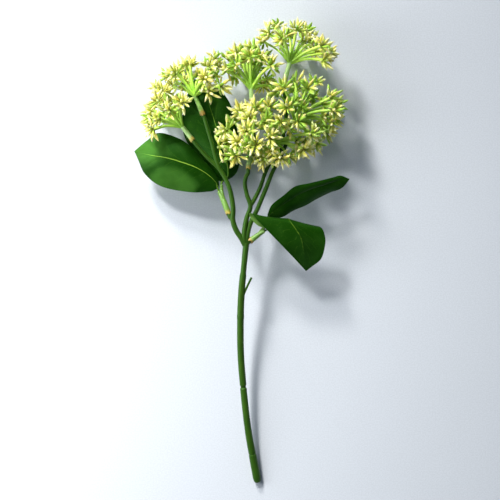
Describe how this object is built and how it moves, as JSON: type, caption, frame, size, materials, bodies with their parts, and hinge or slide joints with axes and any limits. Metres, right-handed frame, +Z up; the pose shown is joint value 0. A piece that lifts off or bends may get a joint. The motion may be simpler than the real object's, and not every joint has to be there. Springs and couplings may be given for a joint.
{
  "type": "artificial skimmia stem",
  "caption": "Forked green stem of a moulded skimmia spray, lying down, with satin oval leaves in plug-in sleeves and domed heads of pale pointed buds on thin rays.",
  "frame": {"origin": "middle of the underside of the bounding box, on the surface that the spray lies on", "axes": "+Z up from the surface, +Y from the cut end of the stem towards the heads, +X to the right as seen from above"},
  "size_m": [0.2023, 0.4394, 0.0792],
  "materials": {
    "stem": "moulded mid-green plastic, darker in the hollows, with a soft satin sheen and small mould steps",
    "sleeve": "soft yellow-green plastic tube with a ragged yellow-brown collar",
    "leaf": "dark green satin blade with a yellow-green midrib, faint side veins and a lighter underside",
    "bud": "matt cream-green bud, greener at its foot and nearly white at its tip, on a lime-green ray"
  },
  "bodies": {
    "root": {"main_stem": "stem", "leaf_sleeve_left": "sleeve", "leaf_sleeve_right": "sleeve", "leaf_left": "leaf", "leaf_middle": "leaf", "leaf_right_long": "leaf", "leaf_right_broad": "leaf", "head_1": "bud", "head_2": "bud", "head_3": "bud", "head_4": "bud", "head_5": "bud", "head_6": "bud", "head_7": "bud"}
  },
  "joints": []
}
